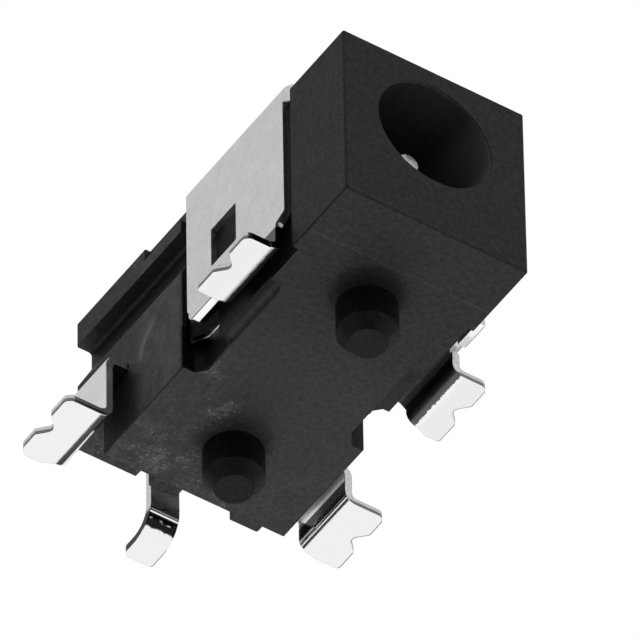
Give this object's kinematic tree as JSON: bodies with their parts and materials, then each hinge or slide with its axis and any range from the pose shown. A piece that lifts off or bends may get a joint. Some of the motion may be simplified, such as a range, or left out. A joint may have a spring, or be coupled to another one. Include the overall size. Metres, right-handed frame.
{
  "type": "dc power jack",
  "caption": "Right-angle surface-mount DC barrel jack: black block with a round plug socket and centre pin, a sheet-metal saddle clip, notched solder feet and round locating pegs.",
  "frame": {"origin": "on the board plane, midway between the axes of the two locating pegs", "axes": "+Z away from the board; +Y from the plug mouth towards the solder tail at the rear; +X to the right for someone looking into the plug mouth"},
  "size_m": [0.0103, 0.0157, 0.0084],
  "materials": {
    "black_plastic": "moulded, slightly satin",
    "clip_plate": "matte plated sheet",
    "contact_plate": "matte tin plate",
    "pin_plate": "bright nickel plate"
  },
  "bodies": {
    "root": {"housing": "black_plastic", "centre_pin": "pin_plate", "centre_pin_terminal": "contact_plate", "saddle_clip": "clip_plate", "sleeve_contact": "contact_plate", "switch_contact": "contact_plate"}
  },
  "joints": []
}
